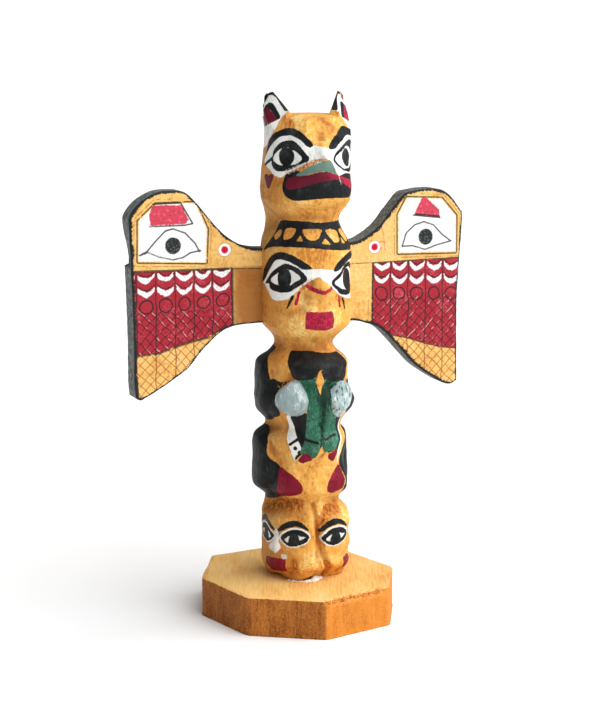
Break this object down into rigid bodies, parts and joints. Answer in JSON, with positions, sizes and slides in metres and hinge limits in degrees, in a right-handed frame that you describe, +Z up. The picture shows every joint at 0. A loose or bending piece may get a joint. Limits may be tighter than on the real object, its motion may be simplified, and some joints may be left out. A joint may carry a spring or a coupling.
{
  "type": "totem pole",
  "caption": "Small hand-carved and painted wooden totem pole with two flat painted wings, glued upright on an octagonal wooden base that stands on its flat underside.",
  "frame": {"origin": "on the pole's axis, in the plane of the base's flat underside", "axes": "+Z up along the pole, -Y is where the carved faces look, the wings spread along X"},
  "size_m": [0.1039, 0.0616, 0.153],
  "materials": {
    "base_wood": "sanded bare softwood, paler on top than on the sawn sides",
    "painted_pole": "varnished honey-coloured wood with brush-painted black, white, maroon, green and grey",
    "painted_wing": "pale board with ink lines, white panels, a red feather block and dark painted edges",
    "glue": "dried white wood glue"
  },
  "bodies": {
    "root": {"base": "base_wood", "pole": "painted_pole", "left_wing": "painted_wing", "right_wing": "painted_wing"}
  },
  "joints": []
}
